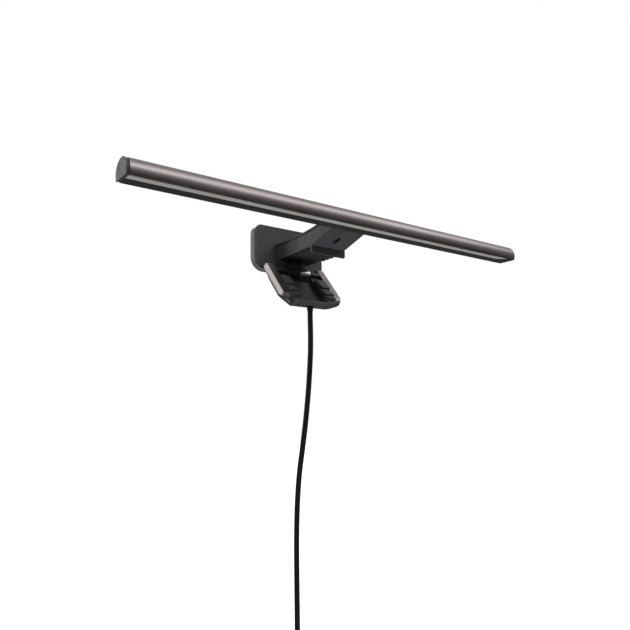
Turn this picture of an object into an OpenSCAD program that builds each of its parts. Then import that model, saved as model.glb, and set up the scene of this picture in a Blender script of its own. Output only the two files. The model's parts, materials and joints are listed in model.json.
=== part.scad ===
// Monitor light bar with a weighted rear jaw and a rear light box.
// Millimetres. X runs along the bar, -Y is the user's side, +Z is up.
// The origin is where the top edge of a monitor sits: the pad's ridges rest on
// its top face (Z = 0) and the lip hangs in front of its screen (Y = 0).

/* [Light bar] */
// Overall length of the light bar
bar_length = 500; // [420:1:560]
// Radius of the bar's round section
bar_radius = 12.2; // [12:0.1:13]
// Distance from the bar's axis down to its flat underside
flat_drop = 5.85; // [5.6:0.05:6.2]
// Wall of the extruded housing
bar_wall = 1; // [0.9:0.1:1.2]
// Distance from the screen's front face out to the bar's axis
bar_reach = 51.5; // [50:0.5:56]
// Height of the bar's axis above the monitor's top face
bar_height = 19.2; // [18.6:0.2:20]
// Width of the frosted light strip
strip_width = 7.4; // [6:0.1:8]
// Distance between neighbouring light emitting chips
chip_pitch = 12; // [8:1:20]

/* [Arm] */
// Width of the arm
arm_width = 45; // [42:1:48]
// Wall of the arm's shell
arm_wall = 2.2; // [1.8:0.1:2.6]
// How far the lip hangs below the monitor's top face
lip_drop = 3.8; // [3:0.1:5]
// Thickness of the lip, front to back
lip_thickness = 2.5; // [2:0.1:3]
// Number of ridges on the grip pad
ridge_count = 4; // [3:1:4]
// Distance between neighbouring ridges
ridge_pitch = 7; // [6.5:0.1:7.2]

/* [Rear box] */
// Distance from the screen's front face back to the rear box
box_front = 70.2; // [70:0.1:74]
// Distance from the screen's front face to the back of the rear box
box_back = 82; // [82:0.5:86]
// Width of the box's front plate
plate_width = 94; // [90:1:100]
// Width of the box's rear cover
cover_width = 96; // [92:1:102]
// Height of the box's top above the monitor's top face
box_top = 43.2; // [42:0.2:46]

/* [Jaw] */
// Width of the swinging jaw
jaw_width = 80; // [78:1:84]
// Forward lean of the closed jaw, in degrees from upright
jaw_lean = 40; // [36:1:44]
// Width of each metal cheek
cheek_width = 9; // [7:0.5:9]
// Half width of the recess down the jaw's middle
channel_half = 17; // [15:0.5:18]

/* [Cord] */
// Diameter of the power lead
cord_diameter = 6; // [5:0.5:6]
// Mean radius of the coil's inner turns
coil_radius = 31; // [30:0.5:36]

/* [Hidden] */
$fn = 96;
eps = 0.02;

// Light bar, about its own axis
bore_r = bar_radius - bar_wall;
half_bar = bar_length / 2;
cap_flange = 3;
groove_depth = 1;
web_low = 1.6;
web_thick = 1;
strip_front = -sqrt(bore_r * bore_r - flat_drop * flat_drop) + 0.05;
strip_rear = strip_front + strip_width;
strip_end = half_bar - 14;
strip_taper = 10;
tray_thick = 1.2;
board_front = -9.6;
board_rear = -4.1;
chip_size = 2.8;
chip_y = -6.8;
chip_span = 2 * floor((half_bar - 20) / chip_pitch) * chip_pitch;
axle_r = 2;
axle_half = 24.8;
bush_r = 2.6;
sleeve_r = 3.7;
tongue_half = 10;
tongue_angle = 14;
tongue_thick = 3;
pocket_half = 26;
slot_half = 11;
slot_low = -16;
slot_high = 39;
bearing_in = 13;
bearing_out = 25;

// Arm, seen from the side
arm_half = arm_width / 2;
bar_gap = 0.4;
rest_level = 1.2;
arm_low_front = 4.2;
slope_foot = 4.8;
slope_head = 16.3;
arm_top = 21.4;
arm_flat_from = 43.5;
arm_rise = 0.00143;
arm_knee = -12;
arm_head = [-42.1, 27.8];
cover_thick = 2;
groove_high = 1.1;
groove_in = 1;
pad_half = 20.5;
pad_from = 6;
pad_to = 38;
ridge_from = 8.5;
ridge_width = 4.5;
pad_skin = 1.6;
frame_mid = [-4, 15];
frame_end = [64, 10.5];
frame_head = [-33.5, 23.6];
boss_places = [10, 52];
lip_pad_thick = 0.5;
lens_mid = -16.5;
lens_length = 15;
lens_width = 5;

// Rear box
plate_thick = 2;
plate_low = -5;
plate_deep = 3.4;
cover_low = -9.7;
cover_top = box_top - 1;
cover_wall = 2;
window_half = 36;
window_low = 4;
window_high = 34;
post_places = [[-40, 3], [40, 3], [-40, 37], [40, 37]];

// Jaw, about its hinge; local -Z runs down the jaw and local +Y is its back
hinge = [0, 58.8, -12.2];
hinge_line = [hinge[1], hinge[2]];
pin_r = 2;
lug_half = 6;
barrel_r = 6;
barrel_half = 16.6;
sleeve_end = 2.4;
barrel_space = 6.35;
ear_in = barrel_half + 0.7;
guard_top = -5.5;
jaw_half = jaw_width / 2;
tray_half = jaw_half - cheek_width;
face_y = -4.7;
back_y = 11.3;
jaw_toe = -56.8;
jaw_heel = -47.2;
foot_top = -42;
foot_corner = 12;
foot_cut = 39;
cut_turn = 52.2;
cut_dip = 20.7;
cheek_top = 5;
cheek_r = 5;
ledge_y = 1.8;
cheek_corner = 9;
inset = 0.3;
floor_y = 3.3;
lead_y = floor_y + 3.2;
skin = 1.8;
fit_gap = 0.1;
pad_head = -13.4;
pad_in = 19;
pad_out = 30.5;
pad_steps = [[-14, -30], [-33.5, -41.5], [-44.5, -48.5]];
pad_rise = 3;
weight_top = -21.5;
weight_low = -36.5;
weight_wide = 9.8;
screw_places = [[-24.7, -18], [24.7, -18], [-22.4, -39.4], [22.4, -39.4]];
foot_screw = [19.6, 5.5];

// Lead, from the jaw's underside to its plug
cord_r = cord_diameter / 2;
gland_y = 33;
gland_r = 3.6;
cord_route = [
    [0, 33, -61], [0, 33, -70], [0, 32.8, -84], [0, 33.2, -102],
    [0, 34.8, -120], [0, 38, -146], [0, 43.5, -178], [0, 50.5, -210],
    [0, 57, -238], [0, 61, -266], [0, 63.2, -296], [0, 64, -328],
    [0, 64, -362], [0, 64, -398], [0, 64, -434], [0, 64, -470]
];
cord_sides = 8;
cord_ring_gap = 14;
turn_gap = 6.2;
coil_mid = [coil_radius, 76.4, -470];
coil_in = coil_radius - cord_r;
coil_out = coil_radius + turn_gap + cord_r;
coil_half = turn_gap + cord_r + 0.6;
tie_half = 7;
plug_x = coil_mid[0] - coil_radius - turn_gap;
plug_y = coil_mid[1] - turn_gap;
plug_top = -500;
plug_length = 30;
shell_length = 18.7;

taupe = [0.46, 0.42, 0.41];
charcoal = [0.2, 0.2, 0.21];
near_black = [0.08, 0.08, 0.09];

// ---------------------------------------------------------------- helpers

// Extrudes a (Y, Z) outline along X
module along_x(x0, x1) {
    translate([x0, 0, 0])
        rotate([90, 0, 90])
            linear_extrude(x1 - x0)
                children();
}

// Extrudes an (X, Z) outline along Y
module along_y(y0, y1) {
    translate([0, y1, 0])
        rotate([90, 0, 0])
            linear_extrude(y1 - y0)
                children();
}

// A cylinder along X about the local origin
module rod_x(x0, x1, r) {
    translate([x0, 0, 0])
        rotate([0, 90, 0])
            cylinder(r = r, h = x1 - x0);
}

// A cylinder along Y from y0 to y1
module rod_y(y0, y1, r) {
    translate([0, y1, 0])
        rotate([90, 0, 0])
            cylinder(r = r, h = y1 - y0);
}

// Points beside a bent line, at a distance to its left
function beside(p, gap) = let (n = len(p)) [
    for (i = [0:n - 1])
        let (
            before = p[i] - p[max(i - 1, 0)],
            after = p[min(i + 1, n - 1)] - p[i],
            a = i > 0 ? before / norm(before) : after / norm(after),
            b = i < n - 1 ? after / norm(after) : a,
            side = [-a[1] - b[1], a[0] + b[0]]
        )
            p[i] + side * 2 * gap / (side * side)
];

// A bent strip of even thickness along a line
module bent_strip(p, thick) {
    left = beside(p, thick / 2);
    right = beside(p, -thick / 2);
    polygon(concat(left, [for (i = [len(p) - 1:-1:0]) right[i]]));
}

// A rectangle with its own radius on the lower and the upper corners
module round_slab(half, low, high, r_low, r_high) {
    union() {
        translate([-half, low + r_low])
            square([2 * half, high - low - r_low - r_high]);
        translate([-half + r_low, low])
            square([2 * (half - r_low), r_low + eps]);
        translate([-half + r_high, high - r_high - eps])
            square([2 * (half - r_high), r_high + eps]);
        for (s = [-1, 1]) {
            translate([s * (half - r_low), low + r_low])
                circle(r = r_low);
            translate([s * (half - r_high), high - r_high])
                circle(r = r_high);
        }
    }
}

module at_bar() {
    translate([0, -bar_reach, bar_height])
        children();
}

module at_hinge() {
    translate(hinge)
        children();
}

module at_jaw() {
    translate(hinge)
        rotate([-jaw_lean, 0, 0])
            children();
}

// ---------------------------------------------------------------- light bar

// The bar's section: a circle cut off by its flat underside
module bar_section(r) {
    intersection() {
        circle(r = r);
        translate([-r - 1, -flat_drop])
            square([2 * r + 2, flat_drop + r + 1]);
    }
}

module bar_housing() color(taupe) at_bar() {
    difference() {
        along_x(-half_bar + cap_flange, half_bar - cap_flange)
            bar_section(bar_radius);
        along_x(-half_bar, half_bar)
            difference() {
                circle(r = bore_r);
                translate([-bar_radius, web_low])
                    square([2 * bar_radius, web_thick]);
            }
        along_x(-pocket_half, pocket_half)
            circle(r = bore_r);
        along_x(-slot_half, slot_half)
            polygon([
                [0, 0],
                20 * [cos(slot_low), sin(slot_low)],
                20 * [cos(slot_high), sin(slot_high)]
            ]);
    }
}

// The part of an end cap that plugs the housing above its web
module cap_plug(x0, x1) {
    along_x(x0, x1)
        intersection() {
            circle(r = bore_r - 0.05);
            translate([-bar_radius, web_low + web_thick + 0.1])
                square([2 * bar_radius, bar_radius]);
        }
}

module end_cap_left() color(charcoal) at_bar() {
    along_x(-half_bar, -half_bar + 1)
        bar_section(bar_radius);
    along_x(-half_bar + 1, -half_bar + cap_flange)
        bar_section(bar_radius - groove_depth);
    cap_plug(-half_bar + cap_flange, -half_bar + 10);
}

module end_cap_right() color(taupe) at_bar() {
    along_x(half_bar - cap_flange, half_bar - 1)
        bar_section(bar_radius);
    along_x(half_bar - 1, half_bar)
        bar_section(bar_radius - 0.5);
    cap_plug(half_bar - 10, half_bar - cap_flange);
}

// Plan of the frosted strip, whose far end is cut on a slant
module strip_plan(grow) {
    x0 = -half_bar + cap_flange - grow;
    polygon([
        [x0, strip_front - grow - 1],
        [strip_end + grow, strip_front - grow - 1],
        [strip_end + grow, strip_front + 1],
        [strip_end - strip_taper + grow, strip_rear + grow],
        [x0, strip_rear + grow]
    ]);
}

module bar_tray() color(near_black) at_bar() {
    difference() {
        along_x(-half_bar + cap_flange, half_bar - cap_flange)
            intersection() {
                circle(r = bore_r - 0.02);
                union() {
                    translate([-bar_radius, -flat_drop])
                        square([2 * bar_radius, tray_thick]);
                    translate([strip_rear + 0.1, -flat_drop])
                        square([1, flat_drop - 0.8]);
                }
            }
        translate([0, 0, -flat_drop - 1])
            linear_extrude(1 + tray_thick + eps)
                strip_plan(0.1);
        translate([-pocket_half, strip_rear - 1, -flat_drop + tray_thick])
            cube([2 * pocket_half, 3, flat_drop]);
    }
}

module diffuser() color([0.86, 0.85, 0.84]) at_bar() {
    intersection() {
        along_x(-half_bar + cap_flange, strip_end)
            intersection() {
                circle(r = bore_r - 0.02);
                translate([-bar_radius, -flat_drop])
                    square([2 * bar_radius, tray_thick]);
            }
        translate([0, 0, -flat_drop - 1])
            linear_extrude(3 + tray_thick)
                strip_plan(0);
    }
}

module led_board() color([0.9, 0.9, 0.88]) at_bar() {
    translate([-half_bar + 8, board_front, 0.2])
        cube([bar_length - 24, board_rear - board_front, web_low - 0.2]);
}

module led_chips() color([0.95, 0.85, 0.45]) at_bar() {
    for (x = [-chip_span / 2:chip_pitch:chip_span / 2]) {
        translate([x - chip_size / 2, chip_y - chip_size / 2, -0.7])
            cube([chip_size, chip_size, 0.9]);
    }
}

module driver_board() color([0.1, 0.35, 0.2]) at_bar() {
    board_z = web_low + web_thick + 0.6;
    translate([60, -8, board_z])
        cube([110, 16, 1.4]);
    for (x = [64, 158]) {
        for (y = [-6, 4]) {
            translate([x, y, web_low + web_thick])
                cube([2, 2, 0.6]);
        }
    }
    translate([72, -4, board_z + 1.4])
        cube([12, 8, 3]);
    for (x = [96, 112, 128]) {
        translate([x, -3, board_z + 1.4])
            cube([6, 5, 1.6]);
    }
    translate([146, 0, board_z + 1.4])
        cylinder(r = 2.5, h = 3.2);
}

// A block that carries one end of the tilt axle inside the housing
module bearing(side) {
    x0 = side > 0 ? bearing_in : -bearing_out;
    difference() {
        along_x(x0, x0 + bearing_out - bearing_in)
            intersection() {
                circle(r = bore_r - 0.02);
                translate([-3.7, -3.7])
                    square([20, 20]);
            }
        rod_x(x0 - 1, x0 + bearing_out - bearing_in + 1, axle_r);
    }
}

module bearing_left() color(near_black) at_bar() {
    bearing(-1);
}

module bearing_right() color(near_black) at_bar() {
    bearing(1);
}

module tilt_axle() color("silver") at_bar() {
    rod_x(-axle_half, axle_half, axle_r);
}

module friction_washers() color("gainsboro") at_bar() {
    for (s = [-1, 1]) {
        x0 = s > 0 ? tongue_half + 0.1 : -bearing_in + 0.1;
        difference() {
            rod_x(x0, x0 + bearing_in - tongue_half - 0.2, 3.5);
            rod_x(x0 - 1, x0 + bearing_in, axle_r + 0.03);
        }
    }
}

// ---------------------------------------------------------------- arm

module tilt_bush() color("darkgoldenrod") at_bar() {
    difference() {
        rod_x(-tongue_half, tongue_half, bush_r);
        rod_x(-tongue_half - 1, tongue_half + 1, axle_r + 0.04);
    }
}

// The steel strip inside the arm, with the tongue and sleeve that hold the bar
module arm_frame() color("silver") {
    root = [-bar_reach, bar_height];
    difference() {
        along_x(-tongue_half, tongue_half)
            difference() {
                union() {
                    translate(root)
                        circle(r = sleeve_r);
                    bent_strip([
                        root + 3 * [cos(tongue_angle), sin(tongue_angle)],
                        frame_head, frame_mid, frame_end
                    ], tongue_thick);
                }
                translate(root)
                    circle(r = bush_r);
            }
        for (y = boss_places) {
            translate([0, y, 0])
                cylinder(r = 1.7, h = 40);
        }
    }
}

// Height of the arm's top face at a distance y behind the screen's front
function arm_top_at(y) =
    y > arm_flat_from ? arm_top : arm_top + arm_rise * pow(arm_flat_from - y, 2);

// The line of the arm's top face, from the bar back to the rear box
arm_top_line = concat(
    [arm_head],
    [for (i = [0:8]) let (y = arm_knee + (arm_flat_from - arm_knee) * i / 8) [y, arm_top_at(y)]],
    [[box_front, arm_top]]
);

// The arm from the side, up to a level below its top face
module arm_outline(below_top) {
    polygon(concat(
        [for (p = arm_top_line) p - [0, below_top]],
        [
            [box_front, rest_level],
            [0, arm_low_front],
            [-lip_thickness, slope_foot],
            [-bar_reach + 10, slope_head + 1]
        ]
    ));
}

module arm_cavity() {
    polygon([
        [-bar_reach, slope_head + 4.5],
        [-bar_reach + 12, slope_head + 2.4],
        [0, slope_foot + 2.6],
        [box_front - arm_wall, rest_level + 2.4],
        [box_front - arm_wall, 40],
        [-bar_reach, 40]
    ]);
}

module lip_outline() {
    polygon([
        [-lip_thickness, slope_foot],
        [-lip_thickness, -lip_drop + 1],
        [-lip_thickness + 0.6, -lip_drop],
        [-0.5, -lip_drop],
        [0, -lip_drop + 0.5],
        [0, arm_low_front],
        [0, slope_foot + 1]
    ]);
}

// The saddle under the arm that holds the hinge's barrel from behind
module lug_outline() {
    difference() {
        polygon([
            hinge_line + [-2.5, 0],
            [hinge[1] - 2.5, rest_level + 1.5],
            [box_front, rest_level + 1.5],
            [box_front, plate_low + 0.2],
            hinge_line + [6.6, -1.5],
            hinge_line + [0, -1.5]
        ]);
        translate(hinge_line)
            circle(r = barrel_r + 0.02);
    }
}

// The sensor window's plan: two arcs that meet in points, lying along Y
module lens_plan(grow) {
    half = lens_length / 2 + grow;
    side = lens_width / 2 + grow;
    r = (half * half + side * side) / (2 * side);
    intersection() {
        translate([r - side, 0])
            circle(r = r);
        translate([side - r, 0])
            circle(r = r);
    }
}

// Puts a child on the arm's sloping underside, its +Z pointing out of the arm
module on_slope() {
    run = bar_reach - 10 - lip_thickness;
    lean = atan2(slope_head + 1 - slope_foot, run);
    translate([0, lens_mid, slope_foot + (-lip_thickness - lens_mid) * tan(lean)])
        rotate([180 - lean, 0, 0])
            children();
}

module arm_shell() color(charcoal) {
    difference() {
        union() {
            along_x(-arm_half, arm_half)
                arm_outline(cover_thick);
            intersection() {
                along_x(-arm_half - 0.6, arm_half + 0.6)
                    lip_outline();
                along_y(-lip_thickness - 1, 1)
                    round_slab(arm_half + 0.6, -lip_drop, 10, 1.8, 1);
            }
            along_x(-lug_half, lug_half)
                lug_outline();
        }
        difference() {
            along_x(-arm_half + arm_wall, arm_half - arm_wall)
                arm_cavity();
            for (y = boss_places) {
                translate([0, y, 0])
                    cylinder(r = 4, h = frame_level(y));
            }
        }
        for (x0 = [-arm_half - 1, arm_half - groove_in]) {
            along_x(x0, x0 + groove_in + 1)
                difference() {
                    arm_outline(cover_thick);
                    arm_outline(cover_thick + groove_high);
                    translate([-100, -60])
                        square([200, 60 + slope_foot + 6]);
                }
        }
        at_bar()
            rod_x(-arm_width, arm_width, bar_radius + bar_gap);
        for (y = boss_places) {
            translate([0, y, 4])
                cylinder(r = 1.35, h = 40);
        }
        lip_pad_block();
        on_slope()
            translate([0, 0, -1.2])
                linear_extrude(5)
                    lens_plan(0.1);
        on_slope()
            translate([0, 0, -5])
                linear_extrude(6)
                    lens_plan(-0.7);
        for (x = [-14, 14]) {
            translate([x, 0, 14])
                rod_y(box_front - 4, box_front + 1, 1.3);
        }
    }
}

// Underside of the steel strip over a boss at y
function frame_level(y) =
    frame_mid[1] + (frame_end[1] - frame_mid[1]) * (y - frame_mid[0])
    / (frame_end[0] - frame_mid[0]) - tongue_thick / 2 - 0.35;

module arm_top_cover() color(charcoal) {
    difference() {
        along_x(-arm_half + 0.1, arm_half - 0.1)
            difference() {
                arm_outline(0);
                arm_outline(cover_thick);
                translate([-100, -60])
                    square([200, 60 + slope_foot + 6]);
            }
        at_bar()
            rod_x(-arm_width, arm_width, bar_radius + bar_gap);
    }
}

module grip_pad() color(near_black) {
    low = [pad_from, arm_low_front + (rest_level - arm_low_front) * pad_from / box_front];
    high = [pad_to, arm_low_front + (rest_level - arm_low_front) * pad_to / box_front];
    along_x(-pad_half, pad_half)
        polygon([
            low, high,
            [pad_to, pad_skin],
            [pad_from, pad_skin]
        ]);
    for (i = [0:ridge_count - 1]) {
        y0 = ridge_from + i * ridge_pitch;
        along_x(-pad_half, pad_half)
            polygon([
                [y0 - 0.8, pad_skin],
                [y0, 0],
                [y0 + ridge_width - 0.8, 0],
                [y0 + ridge_width, pad_skin]
            ]);
    }
}

// The thin pad let into the back of the lip
module lip_pad_block() {
    translate([-arm_half + 3, -lip_pad_thick, -lip_drop + 0.9])
        cube([arm_width - 6, 2 * lip_pad_thick, lip_drop + 1.6]);
}

module lip_pad() color(near_black) {
    intersection() {
        lip_pad_block();
        translate([-arm_half, -10, -10])
            cube([arm_width, 10, 20]);
    }
}

module sensor_lens() color([0.05, 0.05, 0.07]) {
    on_slope()
        translate([0, 0, -1.2])
            linear_extrude(0.8)
                lens_plan(0);
}

module sensor_board() color([0.1, 0.35, 0.2]) {
    on_slope()
        translate([-5, -6, -4.6])
            cube([10, 12, 1]);
    on_slope()
        translate([-1, -4, -3.6])
            cube([2, 8, 1.1]);
}

module frame_screws() color("dimgray") {
    for (y = boss_places) {
        top = frame_level(y) + tongue_thick + 0.7;
        translate([0, y, 5])
            cylinder(r = 1.3, h = top - 5);
        translate([0, y, top])
            cylinder(r = 2.6, h = 1.4);
    }
}

module arm_lead() color("black") {
    translate([14, 0, 17.5])
        rod_y(-28, box_front - arm_wall, 1.3);
}

// ---------------------------------------------------------------- rear box

module rear_plate() color(charcoal) {
    difference() {
        along_y(box_front, box_front + plate_deep)
            round_slab(plate_width / 2, plate_low, box_top, 7, 7);
        along_y(box_front + plate_thick, box_front + plate_deep + 1)
            difference() {
                round_slab(plate_width / 2 - 1.6, plate_low + 1.6, box_top - 1.6, 6, 6);
                for (p = post_places) {
                    translate(p)
                        circle(r = 3.4);
                }
            }
        for (p = post_places) {
            translate([p[0], 0, p[1]])
                rod_y(box_front + 1, box_back, 1.1);
        }
        for (x = [-14, 14]) {
            translate([x, 0, 14])
                rod_y(box_front - 1, box_back, 1.4);
        }
        translate([0, 0, 14])
            rod_y(box_front - 1, box_back, 3);
    }
}

module rear_cover() color([0.34, 0.34, 0.35]) {
    y0 = box_front + plate_deep;
    inner_back = box_back - cover_wall;
    difference() {
        along_y(y0, box_back)
            round_slab(cover_width / 2, cover_low, cover_top, 16, 9);
        difference() {
            along_y(y0 - 1, inner_back)
                round_slab(cover_width / 2 - cover_wall, cover_low + cover_wall,
                    cover_top - cover_wall, 14, 7);
            for (p = post_places) {
                translate([p[0], 0, p[1]])
                    rod_y(y0 - 2, box_back, 3.4);
            }
        }
        along_y(inner_back - 1, box_back + 1)
            translate([-window_half, window_low])
                square([2 * window_half, window_high - window_low]);
        for (p = post_places) {
            translate([p[0], 0, p[1]])
                rod_y(y0 - 1, box_back + 1, 1.25);
            translate([p[0], 0, p[1]])
                rod_y(box_back - 1.6, box_back + 1, 2.4);
        }
    }
}

module rear_diffuser() color([0.86, 0.85, 0.84]) {
    along_y(box_back - 1.6, box_back)
        translate([-window_half + 0.1, window_low + 0.1])
            square([2 * window_half - 0.2, window_high - window_low - 0.2]);
}

module rear_led_board() color([0.9, 0.9, 0.88]) {
    along_y(box_back - 5.4, box_back - 4)
        translate([-window_half + 1, window_low + 1])
            square([2 * window_half - 2, window_high - window_low - 2]);
}

module rear_led_chips() color([0.95, 0.85, 0.45]) {
    for (x = [-31.5:9:31.5]) {
        for (z = [9.5, 19, 28.5]) {
            translate([x - 1.4, box_back - 4, z - 1.4])
                cube([2.8, 0.9, 2.8]);
        }
    }
}

module control_board() color([0.1, 0.35, 0.2]) {
    y0 = box_front + plate_deep + 0.6;
    difference() {
        translate([-30, y0, 0])
            cube([60, 1.2, 36]);
        for (x = [-14, 14]) {
            translate([x, 0, 14])
                rod_y(y0 - 1, y0 + 3, 3);
        }
    }
}

module box_screws() color("dimgray") {
    for (x = [-14, 14]) {
        translate([x, 0, 14])
            rod_y(box_front - 3.8, box_front + plate_thick, 1.25);
        translate([x, 0, 14])
            rod_y(box_front + plate_thick, box_front + plate_thick + 1.3, 2.5);
    }
}

module cover_screws() color("dimgray") {
    for (p = post_places) {
        translate([p[0], 0, p[1]])
            rod_y(box_front + 1.2, box_back - 1.6, 1.05);
        translate([p[0], 0, p[1]])
            rod_y(box_back - 1.6, box_back - 0.4, 2.2);
    }
}

// ---------------------------------------------------------------- hinge

// A hollow drum round the hinge pin, closed by end walls
module drum(x0, x1) {
    difference() {
        rod_x(x0, x1, barrel_r);
        rod_x(x0 + 1, x1 - 1, 4.7);
        rod_x(x0 - 1, x1 + 1, pin_r + 0.02);
    }
}

module hinge_sleeve() color(near_black) at_hinge() {
    drum(-barrel_half, sleeve_end);
}

module spring_barrel() color("silver") at_hinge() {
    drum(sleeve_end, barrel_half);
}

module torsion_spring() color("gray") at_hinge() {
    for (x = [sleeve_end + 1.9:1.3:barrel_half - 1.8]) {
        translate([x, 0, 0])
            rotate([0, 90, 0])
                rotate_extrude()
                    translate([2.7, 0])
                        circle(r = 0.6, $fn = 24);
    }
}

module hinge_pin() color("silver") at_hinge() {
    rod_x(-tray_half - 5, tray_half + 5, pin_r);
}

// ---------------------------------------------------------------- jaw

// The jaw from the side: a thin plate with a round top end and a sloping foot
module jaw_side() {
    union() {
        translate([face_y + cheek_r, cheek_top])
            circle(r = cheek_r);
        polygon([
            [face_y, cheek_top],
            [face_y, jaw_toe],
            [back_y, jaw_heel],
            [back_y, -15],
            [face_y + 2 * cheek_r, -4.5],
            [face_y + 2 * cheek_r, cheek_top]
        ]);
    }
}

// The jaw's plan, with large corners at its back
module jaw_plan() {
    corner = 11;
    union() {
        translate([-jaw_half, -10])
            square([jaw_width, 10 + back_y - corner]);
        translate([-jaw_half + corner, -10])
            square([jaw_width - 2 * corner, 10 + back_y]);
        for (s = [-1, 1]) {
            translate([s * (jaw_half - corner), back_y - corner])
                circle(r = corner);
        }
    }
}

// The jaw's outer form, with its lower rear corners cut off on a slant
module jaw_block() {
    difference() {
        intersection() {
            along_x(-jaw_half, jaw_half)
                jaw_side();
            along_y(-20, 20)
                round_slab(jaw_half, jaw_toe, 10, 16, 2);
            translate([0, 0, -70])
                linear_extrude(90)
                    jaw_plan();
        }
        for (s = [0, 1]) {
            mirror([s, 0, 0])
                rotate([0, cut_dip, cut_turn])
                    translate([foot_cut, -60, -60])
                        cube([30, 120, 120]);
        }
    }
}

// The hollow of the metal tray from the side
module tray_side(gap) {
    polygon([
        [face_y - 2, -9 - gap],
        [face_y - 2, foot_top],
        [back_y - skin - gap, foot_top],
        [back_y - skin - gap, -16.2],
        [5.4 - gap, -9 - gap]
    ]);
}

// What is cut off the lower front corner of each cheek
module cheek_corner_cut() {
    along_x(-jaw_half - 1, jaw_half + 1)
        difference() {
            translate([face_y - 1, foot_top - 20.5])
                square([cheek_corner + 1, 20]);
            translate([face_y + cheek_corner, foot_top - 0.5])
                circle(r = cheek_corner);
        }
}

module jaw_shell() color(taupe) at_jaw() {
    difference() {
        jaw_block();
        cheek_corner_cut();
        along_x(-tray_half, tray_half)
            tray_side(0);
        translate([-tray_half, -20, -9 - eps])
            cube([2 * tray_half, 40, 30]);
        translate([-tray_half, -20, foot_top - 30])
            cube([2 * tray_half, 40, 30]);
        rod_x(-tray_half - 5.1, tray_half + 5.1, pin_r + 0.02);
        for (p = screw_places) {
            translate([p[0], 0, p[1]])
                rod_y(0, back_y + 1, 1.25);
            translate([p[0], 0, p[1]])
                rod_y(back_y - 1.3, back_y + 1, 2.3);
        }
    }
}

// Where the lead's gland passes through the jaw, upright in the object's frame
module gland_space(r) {
    rotate([jaw_lean, 0, 0])
        translate(-hinge)
            translate([0, gland_y, -70])
                cylinder(r = r, h = 18.2);
}

// The recess down the middle of the jaw's front
module channel() {
    along_x(-channel_half, channel_half)
        polygon([
            [-20, -8.2],
            [ledge_y, -8.2],
            [floor_y, -9.7],
            [floor_y, jaw_heel - 1.6],
            [face_y + inset, jaw_toe + skin + 1.9],
            [-20, jaw_toe + skin + 1.9]
        ]);
}

module jaw_foot() color(charcoal) at_jaw() {
    difference() {
        intersection() {
            jaw_block();
            along_y(face_y + inset, 20)
                round_slab(tray_half, jaw_toe, 10, foot_corner, 2);
            translate([-jaw_half, -20, foot_top - 30])
                cube([jaw_width, 40, 30]);
        }
        channel();
        gland_space(gland_r + 0.05);
        translate([0, lead_y, -46])
            cylinder(r = 1.5, h = 10);
        for (s = [-1, 1]) {
            translate([s * foot_screw[0], foot_screw[1], -60])
                cylinder(r = 2.3, h = 12.4);
            translate([s * foot_screw[0], foot_screw[1], -60])
                cylinder(r = 1.25, h = 30);
        }
    }
}

// One of the two blocks at the jaw's top that turn on the hinge pin
module jaw_ear(x0) {
    along_x(x0, x0 + tray_half - fit_gap - ear_in)
        union() {
            circle(r = 4.4);
            translate([-4.4, -12])
                square([7.2, 12]);
        }
}

module jaw_body() color(near_black) at_jaw() {
    half = tray_half - fit_gap;
    difference() {
        union() {
            intersection() {
                along_x(-half, half)
                    tray_side(fit_gap);
                along_y(face_y + inset, 20)
                    translate([-half, -60])
                        square([2 * half, 70]);
            }
            difference() {
                along_x(-half, half)
                    polygon([
                        [ledge_y, -12],
                        [ledge_y, guard_top],
                        [7.2, guard_top],
                        [7.6, -9],
                        [5, -9],
                        [5, -12]
                    ]);
                rod_x(-ear_in, ear_in, barrel_space);
            }
            jaw_ear(ear_in);
            jaw_ear(-half);
        }
        rod_x(-jaw_half, jaw_half, pin_r + 0.03);
        channel();
        translate([-jaw_half, -20.8, pad_head])
            cube([jaw_width, 20, -4.4 - pad_head]);
        for (s = [-1, 1]) {
            x0 = s > 0 ? channel_half + 2.2 : -channel_half - 2.4 - weight_wide;
            along_x(x0, x0 + weight_wide + 0.2)
                translate([-2.2, weight_low - 0.3])
                    square([20, weight_top - weight_low + 0.6]);
        }
        along_x(-channel_half + 2, channel_half - 2)
            translate([floor_y + 1.5, -45])
                square([20, 30]);
        for (p = screw_places) {
            translate([p[0], 0, p[1]])
                rod_y(0, 20, 1.15);
        }
        for (s = [-1, 1]) {
            translate([s * foot_screw[0], foot_screw[1], -50])
                cylinder(r = 1.15, h = 12.4);
        }
    }
}

// A stepped rubber pad whose steps each rise towards their lower edge
module jaw_pad(x0) {
    base = face_y + inset;
    intersection() {
        along_x(x0, x0 + pad_out - pad_in)
            union() {
                translate([base - 1, -49.5])
                    square([1, 49.5 + pad_head]);
                for (step = pad_steps) {
                    polygon([
                        [base - 1 + eps, step[0]],
                        [base - 1.4, step[0] - 0.8],
                        [base - pad_rise, step[1] + 0.6],
                        [base - pad_rise + 0.6, step[1]],
                        [base - 1 + eps, step[1]]
                    ]);
                }
            }
        along_y(-20, 20)
            round_slab(tray_half - 0.5, jaw_toe + skin + 0.5, 10, 10, 2);
    }
}

module pad_left() color([0.25, 0.25, 0.26]) at_jaw() {
    jaw_pad(-pad_out);
}

module pad_right() color([0.25, 0.25, 0.26]) at_jaw() {
    jaw_pad(pad_in);
}

module jaw_weights() color("gray") at_jaw() {
    for (x0 = [-channel_half - 2.3 - weight_wide, channel_half + 2.3]) {
        translate([x0, -2, weight_low])
            cube([weight_wide, 11, weight_top - weight_low]);
    }
}

module jaw_lead() color("black") at_jaw() {
    translate([0, lead_y, -44])
        cylinder(r = 1.3, h = 24);
}

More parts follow.
